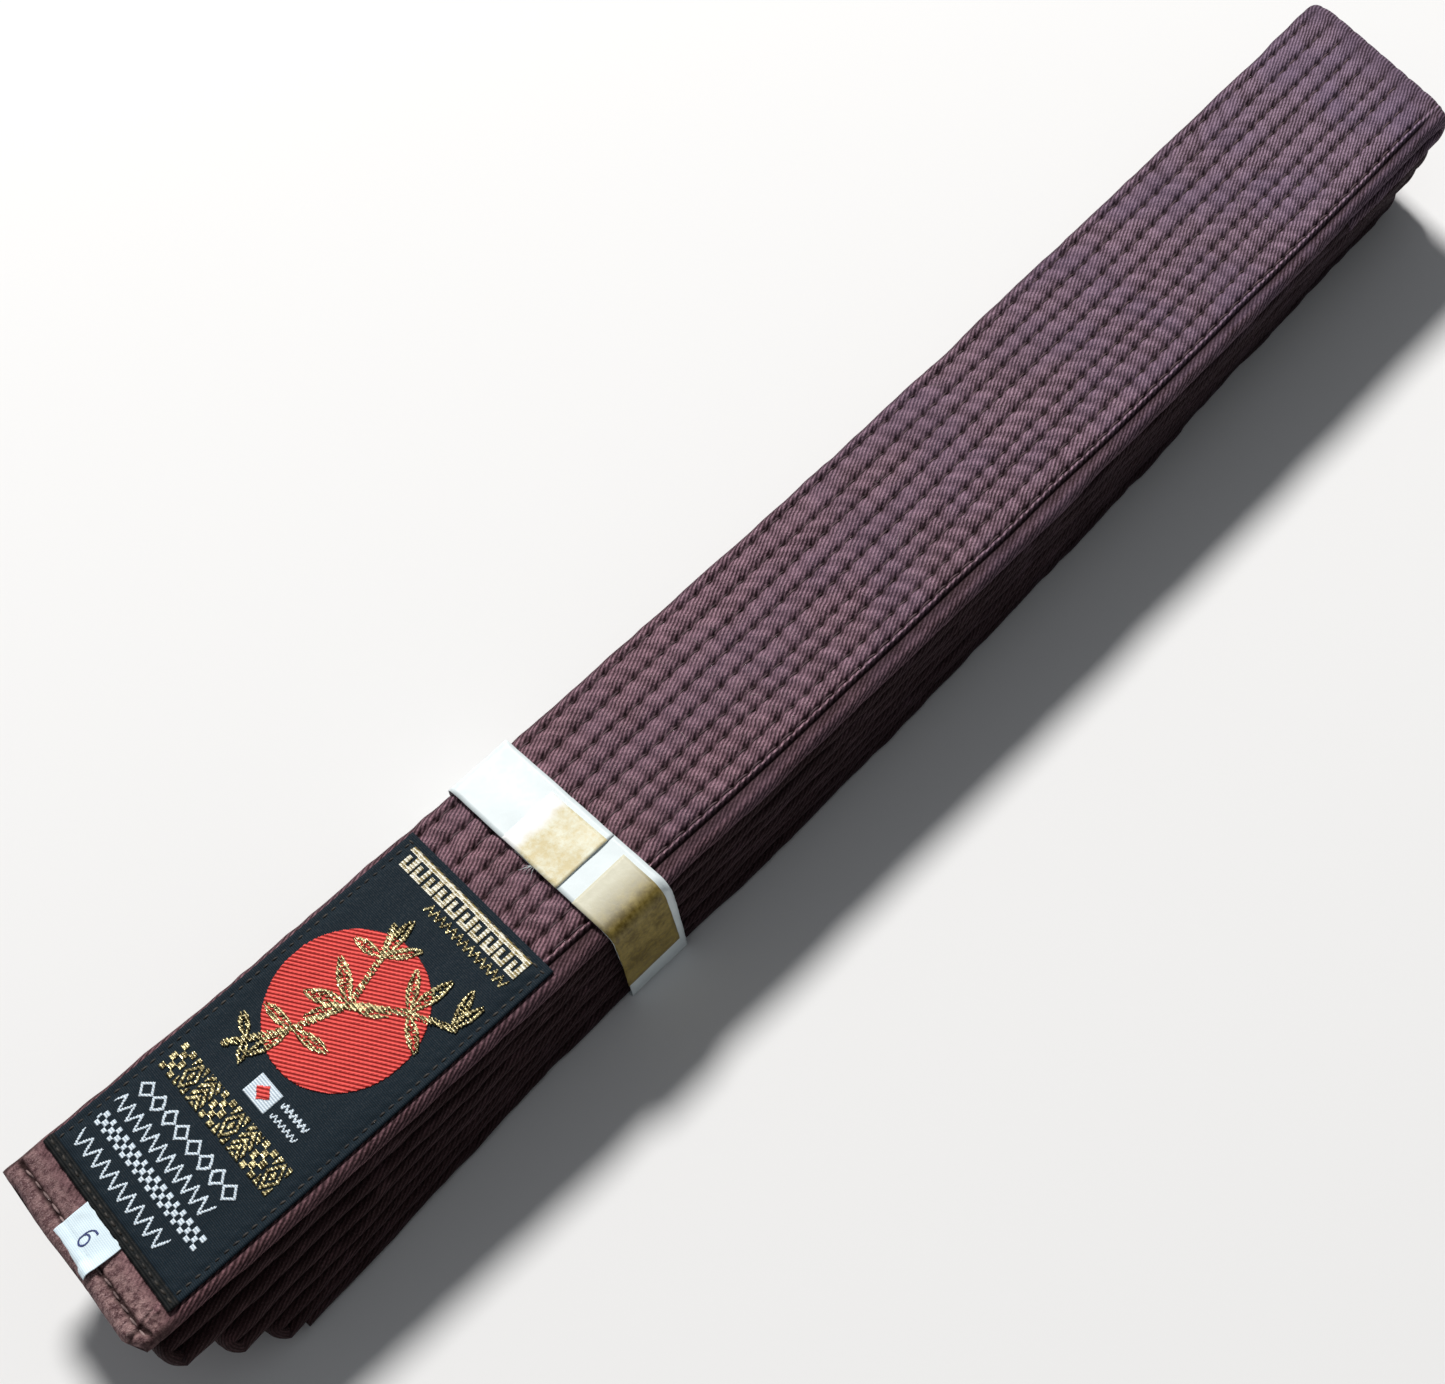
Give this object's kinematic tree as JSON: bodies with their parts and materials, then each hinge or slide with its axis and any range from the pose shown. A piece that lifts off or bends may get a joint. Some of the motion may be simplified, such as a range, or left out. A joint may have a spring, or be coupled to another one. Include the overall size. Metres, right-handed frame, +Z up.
{
  "type": "martial arts belt",
  "caption": "Folded quilted cotton martial arts belt in a paper band: the label end lifts, the size tag flips and the band slides off.",
  "frame": {"origin": "centre of the bottom of the bounding box, on the surface that the folded belt lies on", "axes": "+X along the belt from the label end to the far folds, +Y across it towards the edge with no lap seam, +Z up"},
  "size_m": [0.342, 0.0474, 0.0261],
  "materials": {
    "twill": "quilted cotton twill, brown",
    "core_cotton": "plain woven cotton",
    "brown_thread": "cotton thread, brown",
    "black_satin": "woven satin, black",
    "label_hem": "frayed satin turned edge",
    "gold_weft": "woven gold yarn",
    "white_weft": "woven white yarn",
    "red_weft": "woven red yarn",
    "tag_white": "woven white ribbon",
    "tag_ink": "woven black yarn",
    "band_paper": "plain paper",
    "yellow_tape": "paper-backed adhesive tape"
  },
  "bodies": {
    "belt": {"cover": "twill", "core_ply_top": "core_cotton", "core_ply_middle": "core_cotton", "core_ply_bottom": "core_cotton", "quilting_thread": "brown_thread", "seam_thread": "brown_thread", "plain_end_hem": "twill", "plain_end_hem_thread": "brown_thread"},
    "label_end": {"label_end_cover": "twill", "label_end_core_ply_top": "core_cotton", "label_end_core_ply_middle": "core_cotton", "label_end_core_ply_bottom": "core_cotton", "label_end_quilting_thread": "brown_thread", "label_end_seam_thread": "brown_thread", "label_end_hem": "twill", "label_end_hem_thread": "brown_thread", "label_ground": "black_satin", "label_turned_edge": "label_hem", "label_disc": "red_weft", "label_emblem": "gold_weft", "label_title_row": "gold_weft", "label_second_row": "gold_weft", "label_white_rows": "white_weft", "label_patch": "white_weft", "label_thread": "brown_thread"},
    "size_tag": {"size_tag": "tag_white", "size_numeral": "tag_ink"},
    "band": {"paper_band": "band_paper", "tape_top": "yellow_tape", "tape_side": "yellow_tape"}
  },
  "joints": [
    {"name": "label_end_lift", "type": "hinge", "parent": "belt", "child": "label_end", "pos_m": [-0.07778, 0.00085, 0.02515], "axis": [0.0222, 0.9998, 0], "range_deg": [0, 85]},
    {"name": "size_tag_flip", "type": "hinge", "parent": "label_end", "child": "size_tag", "pos_m": [-0.16345, 0.00305, 0.02548], "axis": [0.0222, 0.9998, 0], "range_deg": [0, 110]},
    {"name": "band_slide", "type": "slide", "parent": "belt", "child": "band", "axis": [0.9999, 0.0108, 0], "range_m": [0, 0.25]}
  ]
}
